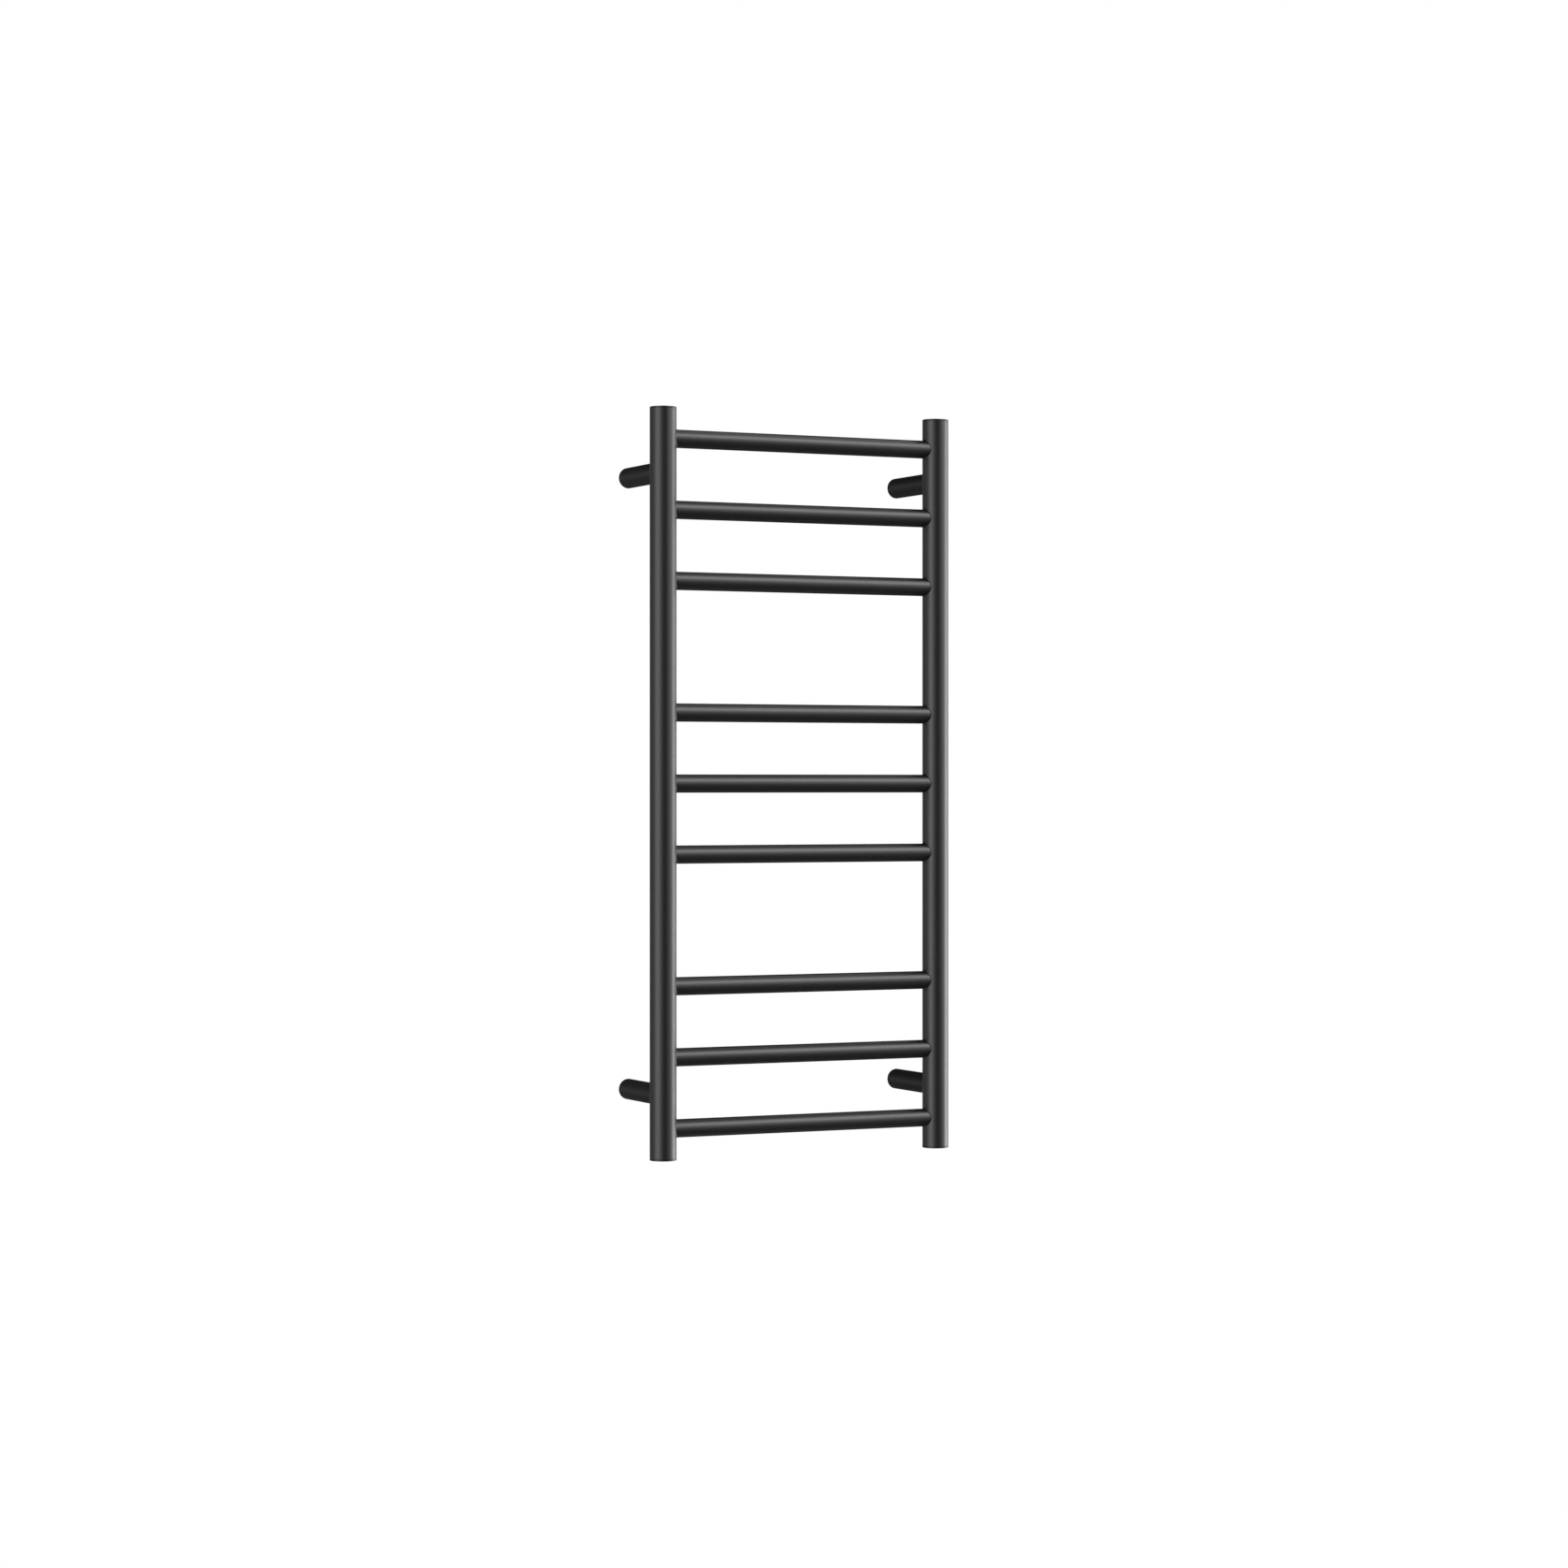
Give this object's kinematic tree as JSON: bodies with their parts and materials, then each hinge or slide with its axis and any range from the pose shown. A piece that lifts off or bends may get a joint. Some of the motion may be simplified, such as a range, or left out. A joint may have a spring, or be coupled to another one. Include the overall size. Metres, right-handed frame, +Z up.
{
  "type": "towel warmer rack",
  "caption": "Wall-mounted ladder rail with round uprights and rungs that warms and dries towels; a heating cable runs inside its tubes.",
  "frame": {"origin": "on the wall plane, midway between the four fixing points", "axes": "+Z up along the uprights, +X to the right as seen from the room, +Y into the wall; the front faces -Y"},
  "size_m": [0.4, 0.122, 0.9],
  "materials": {
    "powder_coat": "satin black powder coat on mild steel tube",
    "boss_aluminium": "turned aluminium",
    "screw_steel": "black oxide steel",
    "terminal_brass": "bright brass",
    "gland_silicone": "matte black silicone",
    "cable_silicone": "matte grey silicone sheath",
    "seal_silicone": "matte red silicone",
    "block_nylon": "natural nylon",
    "fuse_body": "white epoxy coating",
    "live_insulation": "brown insulation",
    "neutral_insulation": "blue insulation",
    "earth_insulation": "green insulation with a yellow stripe"
  },
  "bodies": {
    "root": {"left_upright": "powder_coat", "right_upright": "powder_coat", "rung_1": "powder_coat", "rung_2": "powder_coat", "rung_3": "powder_coat", "rung_4": "powder_coat", "rung_5": "powder_coat", "rung_6": "powder_coat", "rung_7": "powder_coat", "rung_8": "powder_coat", "rung_9": "powder_coat", "left_upper_end_cap": "powder_coat", "left_lower_end_cap": "powder_coat", "right_upper_end_cap": "powder_coat", "right_lower_end_cap": "powder_coat", "left_upper_post": "powder_coat", "left_lower_post": "powder_coat", "right_upper_post": "powder_coat", "right_lower_post": "powder_coat", "left_upper_boss": "boss_aluminium", "left_lower_boss": "boss_aluminium", "right_upper_boss": "boss_aluminium", "right_lower_boss": "boss_aluminium", "left_upper_grub_screw": "screw_steel", "left_lower_grub_screw": "screw_steel", "right_upper_grub_screw": "screw_steel", "right_lower_grub_screw": "screw_steel", "cable_gland": "gland_silicone", "terminal_block": "block_nylon", "terminal_screw_1": "terminal_brass", "terminal_screw_2": "terminal_brass", "terminal_screw_3": "terminal_brass", "terminal_screw_4": "terminal_brass", "terminal_screw_5": "terminal_brass", "terminal_screw_6": "terminal_brass", "live_lead": "live_insulation", "fuse_lead": "live_insulation", "neutral_lead": "neutral_insulation", "earth_lead": "earth_insulation", "earth_tab": "terminal_brass", "thermal_fuse": "fuse_body", "splice_sleeve": "seal_silicone", "heating_cable": "cable_silicone", "end_seal": "seal_silicone"}
  },
  "joints": []
}
